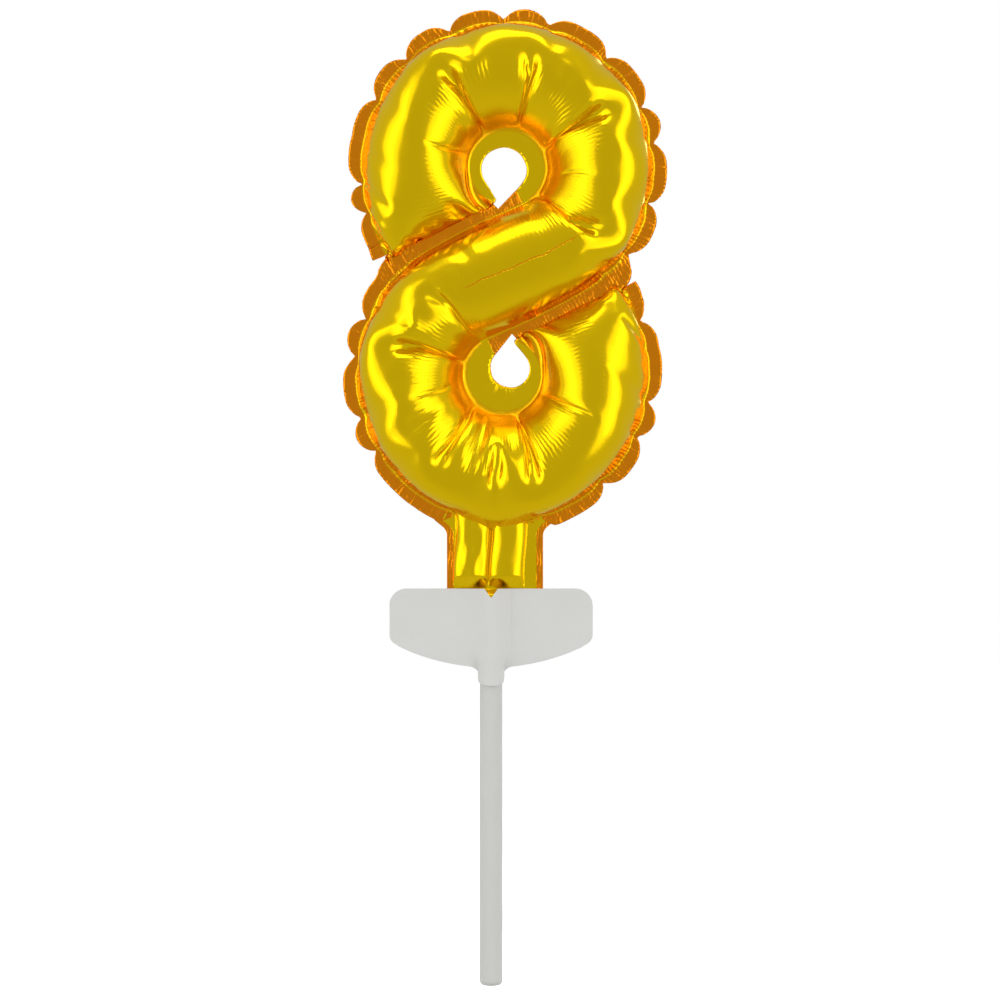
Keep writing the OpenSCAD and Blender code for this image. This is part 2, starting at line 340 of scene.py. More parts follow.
class Films:
    """Two films on one grid, in millimetres. points is (x, y, z) by film by row by column. cut is
    the plan of the flat film, and goal that of the blown-up one. row_loop says which loop a row is
    on: 1 the upper, -1 the lower, 0 neither; curl is the same with soft ends."""

    def __init__(self, figure, arc_rows, straight_rows, tube_columns, flange, lean):
        width, depth = figure.tube_width / MM, figure.tube_depth / MM
        margin, web = figure.margin / MM, figure.web / MM
        loop_r, straight = figure.loop_radius / MM, figure.straight / MM
        across, height, flat_width = lens(width, depth, tube_columns)
        hole_r = loop_r - width / 2
        self.flange = flange
        self.columns = tube_columns + 2 * flange + 1
        self.rows = 2 * arc_rows + straight_rows + 1
        out = np.arange(flange, 0, -1) / flange * margin
        flat_across = np.linspace(-flat_width / 2, flat_width / 2, tube_columns + 1)

        def sides(inside, half):
            return np.concatenate([-half - out, inside, half + out[::-1]])

        self.flat = StripPlan(hole_r + flat_width / 2, straight, flat_width / 2, margin, web)
        self.blown = StripPlan(loop_r, straight, width / 2, margin, web)
        plans = []
        for plan, inside, half in ((self.flat, flat_across, flat_width / 2), (self.blown, across, width / 2)):
            points = plan.points(arc_rows, straight_rows, sides(inside, half))
            points = plan.fill_web(points, flange)
            plans.append(turned(plan.fill_web(turned(points), flange)))
        self.cut, self.goal = plans
        self.across = sides(across, width / 2)
        self.height = np.zeros(self.columns)
        self.height[flange:self.columns - flange] = height
        self.half = width / 2
        self.depth = depth
        self.lean = lean
        loop_rows = np.ones(arc_rows + 1)
        self.row_loop = np.concatenate([loop_rows, np.zeros(straight_rows - 1), -loop_rows])
        reach = arc_rows // 10
        blur = np.hanning(2 * reach + 1)
        wide = np.pad(self.row_loop, reach, mode="edge")
        self.curl = np.convolve(wide, blur / blur.sum(), "valid")
        self.sag = figure.sag / MM
        self.bearings()
        self.bite(figure.scallop / MM)
        self.start(figure.crease / MM)
        self.measure()
        self.find_webs()

    def bearings(self):
        """Each point's direction from its loop's centre, in degrees as the figure stands, and its
        distance from that centre."""
        side = np.where(self.row_loop >= 0, 1, -1)[:, None]
        x = self.goal[0] - side * self.blown.straight / 2
        y = self.goal[1] - side * self.blown.loop_r
        self.bearing = np.degrees(np.arctan2(y, x) + self.lean) % 360
        self.radius = np.hypot(x, y)

    def bite(self, depth):
        """Draws the outer weld in where it puckers: between two bites it bulges like a scallop, and
        the pull fades towards the middle of the tube."""
        for side, bites in ((1, UPPER_BITES), (-1, LOWER_BITES)):
            rows = np.nonzero(self.row_loop == side)[0]
            bearing = self.bearing[rows]
            before, after, _ = neighbours(bites, bearing)
            span = np.clip((after - before) / 20, 0.5, 1.2)
            off = np.minimum(bearing - before, after - bearing)
            pull = depth * span * np.exp(-(off / 4.0) ** 2)
            outward = side * self.across[None, :]
            pull = pull * smooth_step((outward - 0.45 * self.half) / (0.55 * self.half))
            if side < 0:
                middle = sum(NECK_SPAN) / 2 - 1
                sag = np.clip(1 - np.abs(bearing - middle) / 19, 0, 1) ** 1.2
                pull = pull - self.sag * sag * smooth_step(outward / self.half)
            radius = self.radius[rows]
            centre = np.array([self.blown.straight / 2, self.blown.loop_r])[:, None, None] * side
            self.goal[:, rows] = centre + (self.goal[:, rows] - centre) * (1 - pull / radius)

    def start(self, depth):
        """The films before they relax: a lens along the plan, closed at both ends, with a valley
        along each crease."""
        middle = self.goal[:, :, self.columns // 2]
        run = np.concatenate([[0], np.cumsum(np.hypot(*np.diff(middle, axis=1)))])
        run = np.minimum(run, run[-1] - run)
        cap = np.sqrt(1 - (1 - np.clip(run / (self.depth / 2), 0, 1)) ** 2)
        height = self.height[None, :] * cap[:, None]
        valley = np.zeros((self.rows, self.columns))
        self.fold = np.zeros((self.rows, self.columns), np.float32)
        self.loose = np.zeros((self.rows, self.columns), np.float32)
        for side, creases, folds in ((1, UPPER_CREASES, UPPER_FOLDS), (-1, LOWER_CREASES, LOWER_FOLDS)):
            rows = self.row_loop == side
            here = self.radius[rows] * np.exp(1j * np.radians(self.bearing[rows]))
            inward = 0.5 + 0.5 * side * self.across[None, :] / self.half
            outer = side * self.across[None, :] / self.half
            self.loose[rows] = smooth_step((outer - 0.6) / 0.3)
            for bearing, reach, strength in creases:
                off = (self.bearing[rows] - bearing + 180) % 360 - 180
                gap = self.radius[rows] * np.radians(off)
                run_out = smooth_step((reach - inward) / 0.22) * smooth_step(inward / 0.06)
                valley[rows] += strength * depth * run_out * np.exp(-(gap / 1.1) ** 2)
                self.fold[rows] = np.maximum(self.fold[rows], run_out * np.exp(-(gap / 1.6) ** 2))
            for bearing, radius, bearing_end, radius_end, fold_depth in folds:
                first = radius * np.exp(1j * math.radians(bearing))
                second = radius_end * np.exp(1j * math.radians(bearing_end))
                part = ((here - first) / (second - first)).real
                gap = np.abs(here - first - np.clip(part, 0, 1) * (second - first))
                valley[rows] += fold_depth * np.exp(-(gap / 0.8) ** 2)
                self.fold[rows] = np.maximum(self.fold[rows], np.exp(-(gap / 1.2) ** 2))
        height = height - np.minimum(valley, 0.8 * height)
        self.points = np.zeros((3, 2, self.rows, self.columns), np.float32)
        self.points[0] = self.goal[0]
        self.points[2] = self.goal[1]
        self.points[1] = np.stack([-height, height])
        self.speed = np.zeros_like(self.points)

    def measure(self):
        """Lengths of the flat cut film between neighbouring points: along, across, on both
        diagonals, and over two and four steps for its stiffness."""
        cut = self.cut

        def span(a, b):
            return np.hypot(*(b - a)).astype(np.float32)

        self.along = span(cut[:, :-1], cut[:, 1:])
        self.over = span(cut[:, :, :-1], cut[:, :, 1:])
        self.rise = span(cut[:, :-1, :-1], cut[:, 1:, 1:])
        self.fall = span(cut[:, 1:, :-1], cut[:, :-1, 1:])
        self.along_two = span(cut[:, :-2], cut[:, 2:])
        self.along_four = span(cut[:, :-4], cut[:, 4:])
        self.over_two = span(cut[:, :, :-2], cut[:, :, 2:])
        self.over_four = span(cut[:, :, :-4], cut[:, :, 4:])

    def find_webs(self):
        """For each column of an end row, the two rows of the web that it is welded to, and the
        share of the second."""
        self.webs = []
        ends = slice(self.flange, self.columns - self.flange)
        for goal in (self.goal, turned(self.goal)):
            rows = web_rows(self.rows)
            edge = goal[0, rows, 0]
            order = np.argsort(edge)
            place = np.clip(np.searchsorted(edge[order], goal[0, 0, ends]), 1, len(rows) - 1)
            low, high = order[place - 1], order[place]
            share = np.clip((goal[0, 0, ends] - edge[low]) / (edge[high] - edge[low] + 1e-9), 0, 1)
            self.webs.append((rows[low], rows[high], share.astype(np.float32)))

    def weld(self):
        """Joins the films along their welds, and each end row to the web beside it."""
        points, flange = self.points, self.flange
        for part in (np.s_[..., :flange + 1], np.s_[..., self.columns - flange - 1:],
                     np.s_[:, :, :1], np.s_[:, :, -1:]):
            points[part] = points[part].mean(1, keepdims=True)
        for (low, high, share), view in zip(self.webs, (points, points[:, :, ::-1, ::-1])):
            end = view[:, 0, 0, flange:self.columns - flange]
            gap = 0.5 * (end - view[:, 0, low, 0] * (1 - share) - view[:, 0, high, 0] * share)
            view[:, :, 0, flange:self.columns - flange] -= gap[:, None]
            moved = np.zeros((3, self.rows), np.float32)
            weight = np.zeros(self.rows, np.float32)
            for rows, part in ((low, 1 - share), (high, share)):
                np.add.at(weight, rows, part)
                for axis in range(3):
                    np.add.at(moved[axis], rows, gap[axis] * part)
            view[:, :, :, 0] += (moved / np.maximum(weight, 1))[:, None]

    @staticmethod
    def hold(a, b, rest, pull, push):
        """Moves the points of each pair towards the length that the flat film has between them:
        pull when they are too far apart, and push when they are too near."""
        gap = b - a
        size = np.sqrt(gap[0] * gap[0] + gap[1] * gap[1] + gap[2] * gap[2]) + np.float32(1e-6)
        share = 1 - rest / size
        gap *= share * np.where(share > 0, np.float32(0.5 * pull), np.float32(0.5) * push)
        a += gap
        b -= gap

    def settle(self, push, stiff_two, stiff_four):
        """One pass over every pair of the grid, in sets of pairs that share no point. The film is
        less stiff where it is folded."""
        points = self.points
        for first in (0, 1):
            last = first + 2 * ((self.rows - first) // 2)
            rows = slice(first, last, 2)
            a, b = points[:, :, rows], points[:, :, first + 1:last:2]
            self.hold(a, b, self.along[rows], 1, push[rows])
            self.hold(a[..., :-1], b[..., 1:], self.rise[rows], 1, push[rows, 1:])
            self.hold(b[..., :-1], a[..., 1:], self.fall[rows], 1, push[rows, 1:])
            last = first + 2 * ((self.columns - first) // 2)
            self.hold(points[..., first:last:2], points[..., first + 1:last:2],
                      self.over[:, first:last:2], 1, np.float32(1))
        for steps, along, over, stiff in ((2, self.along_two, self.over_two, stiff_two),
                                          (4, self.along_four, self.over_four, stiff_four)):
            for first in range(2 * steps):
                step = 2 * steps
                firm = (1 - self.fold) * (1 - self.loose)
                free = firm[first + steps // 2:self.rows - steps + steps // 2:step]
                self.hold(points[:, :, first:-steps:step], points[:, :, first + steps::step],
                          along[first::step], 0, np.float32(stiff) * free)
                self.hold(points[..., first:-steps:step], points[..., first + steps::step],
                          over[:, first::step], 0, np.float32(stiff))

    def air(self):
        """The air's push on each point: a quarter of the area of each cell around it, outwards."""
        points = self.points
        a = points[:, :, 1:, 1:] - points[:, :, :-1, :-1]
        b = points[:, :, :-1, 1:] - points[:, :, 1:, :-1]
        area = np.stack([a[1] * b[2] - a[2] * b[1], a[2] * b[0] - a[0] * b[2], a[0] * b[1] - a[1] * b[0]])
        area *= np.float32(0.125)
        area[:, BACK] *= -1
        area[..., :self.flange] = 0
        area[..., self.columns - 1 - self.flange:] = 0
        push = np.zeros_like(points)
        for rows, columns in ((np.s_[1:], np.s_[1:]), (np.s_[:-1], np.s_[:-1]),
                              (np.s_[:-1], np.s_[1:]), (np.s_[1:], np.s_[:-1])):
            push[:, :, rows, columns] += area
        return push

    def relax(self, steps, pressure, push, stiff_two, stiff_four):
        """Blows the films up for a number of small steps. The welds are guided to their places and
        pressed flat."""
        points, speed = self.points, self.speed
        cell = (2 * self.flat.loop_r * self.flat.turn / self.rows) ** 2
        goal = self.goal.astype(np.float32)
        guided = (self.flange, self.columns - 1 - self.flange)
        for _ in range(steps):
            before = points.copy()
            points += speed * np.float32(DAMPING) + self.air() * np.float32(pressure / cell)
            self.settle(push, stiff_two, stiff_four)
            for column in guided:
                for axis, wanted in ((0, goal[0]), (2, goal[1])):
                    place = points[axis, :, :, column]
                    place += np.float32(GUIDE) * (wanted[:, column] - place)
            for edge in (points[1, :, :, :self.flange + 1], points[1, :, :, -self.flange - 1:],
                         points[1, :, :1], points[1, :, -1:]):
                edge *= np.float32(PRESS)
            self.weld()
            crossed = points[1, FRONT] > points[1, BACK]
            middle = points[1].mean(0)
            points[1] = np.where(crossed, middle, points[1])
            speed[...] = points - before


def finer(field):
    """Doubles a grid in both directions: new points lie on cubic curves through their neighbours."""
    for axis in (-1, -2):
        line = np.moveaxis(field, axis, -1)
        ends = np.concatenate([2 * line[..., :1] - line[..., 1:2], line,
                               2 * line[..., -1:] - line[..., -2:-1]], -1)
        between = (9 * (ends[..., 1:-2] + ends[..., 2:-1]) - ends[..., :-3] - ends[..., 3:]) / 16
        both = np.empty(line.shape[:-1] + (2 * line.shape[-1] - 1,), line.dtype)
        both[..., ::2] = line
        both[..., 1::2] = between
        field = np.moveaxis(both, -1, axis)
    return field


def blow_up(figure, lean):
    """The relaxed films, first on a coarse grid, then on one twice as fine."""
    rng = np.random.default_rng(8)
    arc_rows, straight_rows, tube_columns, flange = 128, 18, 36, 3
    films = Films(figure, arc_rows, straight_rows, tube_columns, flange, lean)
    films.points += rng.normal(0, 0.05, films.points.shape).astype(np.float32)
    steps = COARSE_STEPS
    films.relax(steps, COARSE_AIR * figure.pressure, film_push(films), *COARSE_STIFFNESS)
    coarse = films.points
    films = Films(figure, 2 * arc_rows, 2 * straight_rows, 2 * tube_columns, 2 * flange, lean)
    films.points = finer(coarse).astype(np.float32)
    films.points += rng.normal(0, 0.015, films.points.shape).astype(np.float32)
    films.relax(FINE_STEPS, FINE_AIR * figure.pressure, film_push(films), *FINE_STIFFNESS)
    even_out(films)
    trim_welds(films, figure)
    return films


def trim_welds(films, figure):
    """Lays out the free edges of the weld. Beside a hole the weld is a flat ring, which runs out to
    a point where the tube ends. Around the outside it is drawn in at the bites, and between them it
    stands out in crinkled scallops. Both loops are worked out as the upper one: the lower one is
    looked at turned half round."""
    margin, flange = figure.margin / MM, films.flange
    rng = np.random.default_rng(21)
    share = (np.arange(1, flange + 1) / flange)[:, None]
    for side, bites, hole_shape in ((1, UPPER_BITES, UPPER_HOLE), (-1, LOWER_BITES, LOWER_HOLE)):
        order = slice(None, None, side)
        points = films.points[:, :, order, order]
        goal = films.goal[:, order, order] * side
        rows = np.arange(films.rows)[films.row_loop[order] == side]
        centre = np.array([films.blown.straight / 2, films.blown.loop_r])[:, None]
        edge = -1 - flange
        plan = goal[:, rows, edge] - centre
        outer_r = films.blown.loop_r + films.half
        web_x = films.blown.straight + outer_r * math.sin(films.blown.end_turn(np.array(outer_r)))
        beyond = np.arctan2(plan[0], -plan[1]) % (2 * np.pi) - math.asin(-web_x / outer_r)
        free = smooth_step(beyond / math.radians(9))
        out = plan / np.hypot(*plan)
        bearing = films.bearing[order, order][rows, edge]
        before, after, number = neighbours(bites, bearing)
        gap = after - before
        part = (bearing - before) / gap
        bulge = np.sin(np.pi * part)
        off = np.minimum(part, 1 - part) * gap
        round_off = 1 - np.clip(off / np.minimum(8, gap / 2), 0, 1)
        width = margin * (0.08 + 0.92 * np.sqrt(1 - round_off ** 2)) * (0.80 + 0.12 * bulge)
        if side < 0:
            over_neck = smooth_step((bearing - NECK_SPAN[0]) / 6) * smooth_step((NECK_SPAN[1] - bearing) / 6)
            width = width * (1 - 0.9 * over_neck)
        last = smooth_step((rows + 1) / (0.03 * len(rows)))
        lean = rng.uniform(-0.5, 0.5, len(bites) + 3)[number] * bulge
        run = np.radians(bearing) * films.blown.loop_r * 1.6
        shift = 2 * ripple(run, 0 * run, 4, 5, 0.2, 0.9)
        crinkle = CRINKLE_HEIGHT * np.sin(2 * np.pi * run / CRINKLE_PITCH + shift)
        seam = points[:, FRONT, rows, edge]
        weight = free * last
        x = seam[0] * side + share * width * out[0]
        z = seam[2] * side + share * width * out[1]
        y = seam[1] + share * lean + share ** 0.7 * crinkle
        for axis, value in ((0, x * side), (1, y), (2, z * side)):
            old = points[axis, FRONT][rows[:, None], np.arange(films.columns - flange, films.columns)]
            new = old + weight[:, None] * (value.T - old)
            points[axis, :, rows[0]:rows[-1] + 1, films.columns - flange:] = new[None]
        hole = Teardrop(*hole_shape)
        columns = np.arange(flange - 1, -1, -1)
        plan = goal[:, rows, flange] - centre
        angle = np.arctan2(plan[1], plan[0])
        rim = hole.reach(angle) * np.stack([np.cos(angle), np.sin(angle)])
        between = np.arange(rows[-1] + 1, rows[-1] + films.rows // 8)
        beside = goal[:, between, flange] - centre
        under = (beside[0] > hole.tip[0] - 0.1) & (beside[0] <= 0.3)
        between, beside = between[under], beside[:, under]
        low = np.stack([beside[0], hole.floor(beside[0])])
        rows = np.concatenate([rows, between])
        step = np.concatenate([rim - plan, low - beside], 1) * side
        seam = points[:, FRONT, rows, flange]
        crinkle = 0.05 * np.sin(step[0] * 4 + 3 * np.sin(step[1] * 2))
        for axis, value in ((0, seam[0] + share * step[0]), (1, seam[1] * (1 - share) + share * crinkle),
                            (2, seam[2] + share * step[1])):
            points[axis, :, rows[0]:rows[-1] + 1, :flange] = value.T[None, :, ::-1]


def even_out(films):
    """Evens out the film along the outer half of each loop, where it is taut: each point moves
    towards the weighted mean of its neighbours along the tube."""
    reach = films.rows // 36
    window = np.hanning(2 * reach + 3)[1:-1]
    window = (window / window.sum()).astype(np.float32)
    wide = np.pad(films.points, ((0, 0), (0, 0), (reach, reach), (0, 0)), mode="edge")
    mean = sum(weight * wide[:, :, k:k + films.rows] for k, weight in enumerate(window))
    outward = films.curl[:, None] * films.across[None, :] / films.half
    row = np.arange(films.rows)
    ends = smooth_step((np.minimum(row, row[::-1]) - reach) / reach)[:, None]
    share = 0.85 * smooth_step((outward - 0.02) / 0.35) * smooth_step((1.0 - outward) / 0.12) * ends
    films.points += share.astype(np.float32) * (mean - films.points)


class Teardrop:
    """A hole's outline, about its loop's centre: a circle, and two lines that touch it and meet at
    the tip."""

    def __init__(self, x, y, radius, tip_x, tip_y):
        self.middle = np.array([x, y])
        self.radius = radius
        self.tip = np.array([tip_x, tip_y])
        away = self.middle - self.tip
        distance = math.hypot(*away)
        spread = math.asin(radius / distance)
        heading = math.atan2(away[1], away[0])
        length = math.sqrt(distance ** 2 - radius ** 2)
        self.touch = [self.tip + length * np.array([math.cos(heading + turn), math.sin(heading + turn)])
                      for turn in (spread, -spread)]

    def reach(self, angle):
        """Distance from the loop's centre to the outline in each direction."""
        x, y = np.cos(angle), np.sin(angle)
        beside = x * self.middle[0] + y * self.middle[1]
        far = beside + np.sqrt(np.clip(self.radius ** 2 - self.middle @ self.middle + beside ** 2, 0, None))
        for touch in self.touch:
            edge = touch - self.tip
            cross = x * edge[1] - y * edge[0]
            cross = np.where(np.abs(cross) < 1e-9, 1e-9, cross)
            length = (self.tip[0] * edge[1] - self.tip[1] * edge[0]) / cross
            part = (length * x - self.tip[0]) * edge[0] + (length * y - self.tip[1]) * edge[1]
            part = part / (edge @ edge)
            far = np.where((part >= 0) & (part <= 1) & (length > 0), np.maximum(far, length), far)
        return far

    def floor(self, x):
        """Height of the lower side of the outline at each place."""
        inside = np.clip(self.radius ** 2 - (x - self.middle[0]) ** 2, 0, None)
        low = np.where(inside > 0, self.middle[1] - np.sqrt(inside), self.middle[1])
        for touch in self.touch:
            part = (x - self.tip[0]) / (touch[0] - self.tip[0])
            line = self.tip[1] + part * (touch[1] - self.tip[1])
            low = np.where((part >= 0) & (part <= 1), np.minimum(low, line), low)
        return low


def film_push(films):
    """How firmly each point's film keeps its length when it is pressed together: fully at the
    creases, in part on the side of a hole, and hardly on the outer side, which stays smooth."""
    outward = films.curl[:, None] * films.across[None, :] / films.half
    near = INNER_PUSH * (1 - smooth_step((outward + 0.1) / 0.5))
    return np.maximum(OUTER_PUSH + near, films.fold).astype(np.float32)


# Places worked out from the frame

class Places:
    """Where the figure, the neck and the cards are, in metres, from the frame's own boxes."""

    def __init__(self, figure):
        low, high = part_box("foil_front")
        loops_apart = math.hypot(2 * figure.loop_radius, figure.straight)
        across = math.atan2(2 * figure.loop_radius, figure.straight)
        self.figure_turn = math.pi / 2 - figure.lean - across
        weld_radius = figure.loop_radius + figure.tube_width / 2
        rise = loops_apart / 2 * math.cos(figure.lean)
        self.figure_x = (low[0] + high[0]) / 2
        self.figure_z = high[2] - weld_radius - figure.margin - rise
        self.lowest_weld = self.figure_z - rise - weld_radius
        card_low, card_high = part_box("card_front")
        self.card_half = (card_high[0] - card_low[0]) / 2
        self.card_x = (card_high[0] + card_low[0]) / 2
        self.tongue = card_low[2]
        self.card_top = card_high[2]
        tail_low, tail_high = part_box("neck_tail_front")
        self.neck_x = (tail_low[0] + tail_high[0]) / 2
        self.tail = tail_low[2]
        stick_low, stick_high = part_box("stick")
        self.stick_radius = (stick_high[0] - stick_low[0]) / 2
        self.stick_x = (stick_high[0] + stick_low[0]) / 2
        self.stick_bottom = stick_low[2]
        self.stick_top = stick_high[2]
        glue_low, glue_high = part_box("glue_patch_left")
        self.film_room = (glue_high[1] - glue_low[1]) / 2


# Materials

class Number:
    """A number that a material works out over a surface, which +, - and * build on."""

    def __init__(self, finish, socket):
        self.finish = finish
        self.socket = socket

    def maths(self, operation, first, second):
        return self.finish.node("ShaderNodeMath", {"operation": operation}, {0: first, 1: second})[0]

    def __add__(self, other):
        return self.maths("ADD", self, other)

    def __sub__(self, other):
        return self.maths("SUBTRACT", self, other)

    def __mul__(self, other):
        return self.maths("MULTIPLY", self, other)

    def __rsub__(self, other):
        return self.maths("SUBTRACT", other, self)

    __radd__ = __add__
    __rmul__ = __mul__

    def sine(self):
        return self.maths("SINE", self, 0)

    def span(self, low, high):
        """0 at low, 1 at high, held between."""
        sockets = {"Value": self, "From Min": low, "From Max": high}
        return self.finish.node("ShaderNodeMapRange", {}, sockets)[0]


class Finish:
    """A material under construction, or the studio's world: its nodes, and what they say."""

    def __init__(self, name, world=False):
        self.block = (bpy.data.worlds if world else bpy.data.materials).new(name)
        self.block.use_nodes = True
        self.tree = self.block.node_tree
        self.tree.nodes.clear()

    def node(self, kind, settings, sockets):
        """Adds a node, sets its settings and then its sockets, and gives its outputs as numbers."""
        made = self.tree.nodes.new(kind)
        for key, value in settings.items():
            setattr(made, key, value)
        for key, value in sockets.items():
            socket = made.inputs[key]
            if isinstance(value, Number):
                self.tree.links.new(value.socket, socket)
            else:
                socket.default_value = value
        return [Number(self, output) for output in made.outputs]

    def coordinates(self, scale=(1, 1, 1)):
        """Object coordinates in metres, scaled."""
        place = self.node("ShaderNodeTexCoord", {}, {})[3]
        return self.node("ShaderNodeMapping", {}, {"Vector": place, "Scale": scale})[0]

    def noise(self, size, detail=3.0, rough=0.5, stretch=(1, 1, 1)):
        """A noise from 0 to 1 whose lumps are about size metres across, stretched by shares."""
        place = self.coordinates([1 / (size * share) for share in stretch])
        sockets = {"Vector": place, "Scale": 1.0, "Detail": detail, "Roughness": rough}
        return self.node("ShaderNodeTexNoise", {}, sockets)[0]

    def stored(self, name):
        """A number that the piece stores for each of its points."""
        return self.node("ShaderNodeAttribute", {"attribute_name": name}, {})[2]

    def along(self):
        """The piece's own coordinates over its surface, as two numbers."""
        place = self.node("ShaderNodeUVMap", {"uv_map": "UVMap"}, {})[0]
        return self.node("ShaderNodeSeparateXYZ", {}, {0: place})[:2]

    def mix(self, share, first, second):
        """A colour between two others."""
        sockets = {0: share, 6: self.shade(first), 7: self.shade(second)}
        return self.node("ShaderNodeMix", {"data_type": "RGBA"}, sockets)[2]

    @staticmethod
    def shade(value):
        return value if isinstance(value, Number) else (*value, 1)

    def bump(self, height, depth, below=None):
        """A normal that is tilted by a height from 0 to 1, which stands for depth metres."""
        sockets = {"Height": height, "Distance": depth, "Strength": 1.0}
        if below is not None:
            sockets["Normal"] = below
        return self.node("ShaderNodeBump", {}, sockets)[0]

    def surface(self, **sockets):
        """The principled surface, from its sockets by name with _ for a space."""
        named = {key.replace("_", " "): value for key, value in sockets.items()}
        if not isinstance(named["Base Color"], Number):
            named["Base Color"] = self.shade(named["Base Color"])
        shader = self.node("ShaderNodeBsdfPrincipled", {}, named)[0]
        self.node("ShaderNodeOutputMaterial", {}, {"Surface": shader})
        return self.block


def foil_finish(name, gold, weld):
    """Metallised film: bright and a little uneven. A deeper orange is painted as shade where the films are
    welded, on the walls beside the holes and along the crest, in place of the light bounced between the
    folds. Fine wrinkles run across the tube where the film is gathered, and one fold, the crest, runs
    along its straight part, with a dark line of painted shade along it."""
    finish = Finish(name)
    seam = finish.stored("weld")
    wall = finish.stored("wall")
    gathered = finish.stored("gathered")
    run, over = finish.along()
    shift = finish.noise(0.004, 2.0)
    cloud = finish.noise(0.012, 2.0)
    fine = finish.noise(0.0014, 3.0)
    lines = (run * 5200.0 + shift * 9.0).sine() * 0.5 + 0.5
    pleats = (run * 7600.0 + shift * 14.0).sine() * 0.5 + 0.5
    # The crest is a narrow line along the fold on the straight part: it tilts the normal, and it is also
    # painted darker, as shade in the fold.
    off = (over + shift * 0.0012 - 0.0010) * 4200.0
    crest = (1.0 - (off * off).span(0, 1)) * run.span(-0.022, -0.019)
    crest = crest * (-1.0 * run).span(-0.0125, -0.0100)
    tilt = finish.bump(lines * gathered * cloud.span(0.35, 0.6), 0.00006)
    crinkled = pleats * 0.55 + finish.noise(0.0011, 2.0)
    tilt = finish.bump(crinkled * (seam + wall * 0.4) * (0.2 + 0.8 * cloud.span(0.35, 0.7)), 0.00018, tilt)
    tilt = finish.bump(1.0 - crest * (0.4 + 0.6 * lines), 0.00014, tilt)
    tilt = finish.bump(fine, 0.00001, tilt)
    return finish.surface(
        # Painted shade: the weld colour is mixed in fully on the welds, half on the walls beside the holes,
        # and along the crest.
        Base_Color=finish.mix(seam + wall * 0.5 + crest * (0.75 + 0.25 * lines), gold, weld),
        Metallic=1.0,
        Roughness=0.17 + cloud * 0.06 + seam * 0.04,
        Normal=tilt,
    )


def valve_finish():
    """Clear polyethylene film."""
    finish = Finish("clear_film")
    haze = finish.noise(0.005)
    return finish.surface(Base_Color=(0.86, 0.88, 0.88), Roughness=0.22 + haze * 0.12, Alpha=0.35)


def card_finish(white):
    """Coated white board: nearly smooth, with the faint mottle of its fibres."""
    finish = Finish("white_board")
    fibres = finish.noise(0.0009, 4.0, 0.6)
    cloud = finish.noise(0.008, 2.0)
    dark = [0.93 * part for part in white]
    return finish.surface(
        Base_Color=finish.mix(fibres * 0.5 + cloud * 0.5, dark, white),
        Roughness=0.52 + cloud * 0.1,
        Normal=finish.bump(fibres, 0.00003),
    )


def paper_finish(white):
    """Rolled paper: fibres that run along the stick, and a mottle where the glue has dried."""
    finish = Finish("rolled_paper")
    fibres = finish.noise(0.0006, 4.0, 0.65, (1, 1, 6))
    cloud = finish.noise(0.0035, 3.0, 0.6, (1, 1, 3))
    dark = [0.86 * part for part in white]
    return finish.surface(
        Base_Color=finish.mix(fibres * 0.45 + cloud * 0.55, dark, white),
        Roughness=0.62 + fibres * 0.15,
        Normal=finish.bump(fibres * 0.6 + cloud * 0.4, 0.00006),
    )


def glue_finish():
    """Dried white glue."""
    finish = Finish("dried_glue")
    lumps = finish.noise(0.0015, 3.0)
    return finish.surface(
        Base_Color=finish.mix(lumps, (0.80, 0.77, 0.66), (0.90, 0.88, 0.80)),
        Roughness=0.45 + lumps * 0.2,
        Normal=finish.bump(lumps, 0.00008),
    )


def floor_finish():
    """The pale floor."""
    finish = Finish("pale_floor")
    cloud = finish.noise(0.4, 2.0)
    return finish.surface(
        Base_Color=finish.mix(cloud, (0.93, 0.93, 0.93), (0.96, 0.96, 0.96)),
        Roughness=0.8,
        Emission_Color=(1, 1, 1, 1),
        Emission_Strength=0.7,
    )


# The pieces

def film_sheet(films, side, figure, places):
    """One film's points in metres: the solver's grid, turned and moved to the figure's place. Each
    film lies on its own side of the weld."""
    x, y, z = films.points[:, side].astype(float) * MM
    cos, sin = math.cos(places.figure_turn), math.sin(places.figure_turn)
    return np.stack([places.figure_x + cos * x - sin * z, y, places.figure_z + sin * x + cos * z], -1)


def build_film(films, side, figure, places, material):
    """One foil film of the balloon, with its weld: the solver's grid, whose own coordinates are the
    run along the tube and the distance across it."""
    points = film_sheet(films, side, figure, places)
    rows, columns = points.shape[:2]
    faces = grid_faces(rows, columns)
    if side == BACK:
        faces = faces[:, ::-1]
    run = np.concatenate([[0], np.cumsum(films.along[:, columns // 2])]) * MM
    run = run - run[-1] / 2
    uv = np.stack([np.broadcast_to(run[:, None], (rows, columns)),
                   np.broadcast_to(films.across[None, :] * MM, (rows, columns))], -1)
    name = "balloon_film_" + SIDE_NAMES[side]
    piece = mesh_piece(name, points.reshape(-1, 3), faces, material, uv.reshape(-1, 2))
    edge = films.across[None, :] / films.half
    outward = films.curl[:, None] * edge
    weld = smooth_step((np.abs(edge) - 0.985) / 0.03)
    ring = weld * (films.row_loop[:, None] * edge < 0)
    wall = smooth_step((-outward - 0.74) / 0.12) * (np.abs(edge) < 1.01)
    gathered = smooth_step((outward + 0.75) / 0.35) * smooth_step((0.18 - outward) / 0.1)
    # The weld and wall values also say where the foil's material paints its deeper orange shade; they set its
    # crinkles too.
    point_value(piece, "weld", np.clip(weld - ring, 0, 1))
    point_value(piece, "wall", wall)
    point_value(piece, "gathered", gathered * np.abs(films.curl[:, None]))
    thicken(piece, figure.film, 1)
    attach(piece, HEAD)
    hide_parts("foil_" + SIDE_NAMES[side])
    return piece


# Half the width of one of the neck's two pleats, in metres
PLEAT = 0.0046


